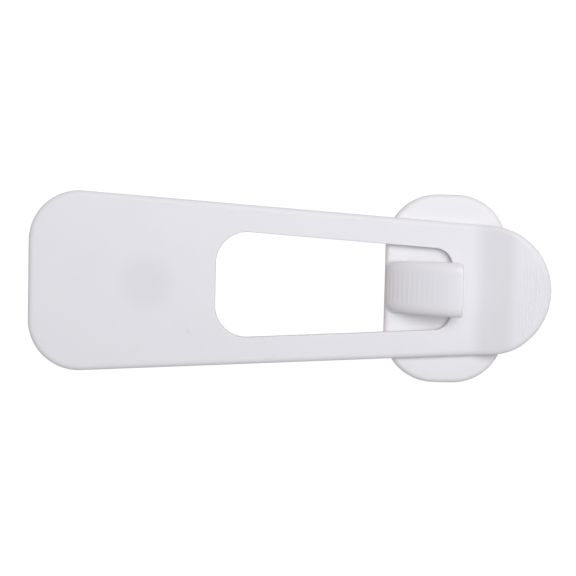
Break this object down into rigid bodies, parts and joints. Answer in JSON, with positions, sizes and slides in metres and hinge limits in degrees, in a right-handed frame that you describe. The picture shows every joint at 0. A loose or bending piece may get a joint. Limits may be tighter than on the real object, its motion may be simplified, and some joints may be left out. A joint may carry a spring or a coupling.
{
  "type": "appliance safety lock",
  "caption": "White moulded appliance safety lock: a tapered strap with a long slot and a raised ribbed finger tab, slipped over the arched hook of a stick-on catch plate.",
  "frame": {"origin": "under the middle of the part's outline, on the surface that both foam pads stick to", "axes": "+X along the strap from its anchored end to its finger tab, +Y across the strap, +Z away from the surface"},
  "size_m": [0.15, 0.0546, 0.0149],
  "materials": {
    "strap_plastic": "satin",
    "catch_plastic": "satin",
    "foam_tape": "matte"
  },
  "bodies": {
    "anchor": {"strap_anchor": "strap_plastic", "anchor_foam_pad": "foam_tape"},
    "loop": {"strap_loop": "strap_plastic"},
    "catch": {"catch_base": "catch_plastic", "catch_foam_pad": "foam_tape"},
    "hook": {"catch_hook": "catch_plastic"}
  },
  "joints": [
    {"name": "strap_lift", "type": "hinge", "parent": "anchor", "child": "loop", "pos_m": [0.013, 0, 0.0063], "axis": [0, -1, 0], "range_deg": [0, 20], "stiffness_Nm_per_rad": 0.4},
    {"name": "catch_travel", "type": "slide", "parent": "anchor", "child": "catch", "axis": [-1, 0, 0], "range_m": [0, 0.0165]},
    {"name": "hook_flex", "type": "hinge", "parent": "catch", "child": "hook", "pos_m": [0.0284, 0, 0.0039], "axis": [0, -1, 0], "range_deg": [0, 6], "stiffness_Nm_per_rad": 2}
  ],
  "couplings": [
    {"joint": "catch_travel", "follows": "strap_lift", "m_per_rad": 0.045837}
  ]
}
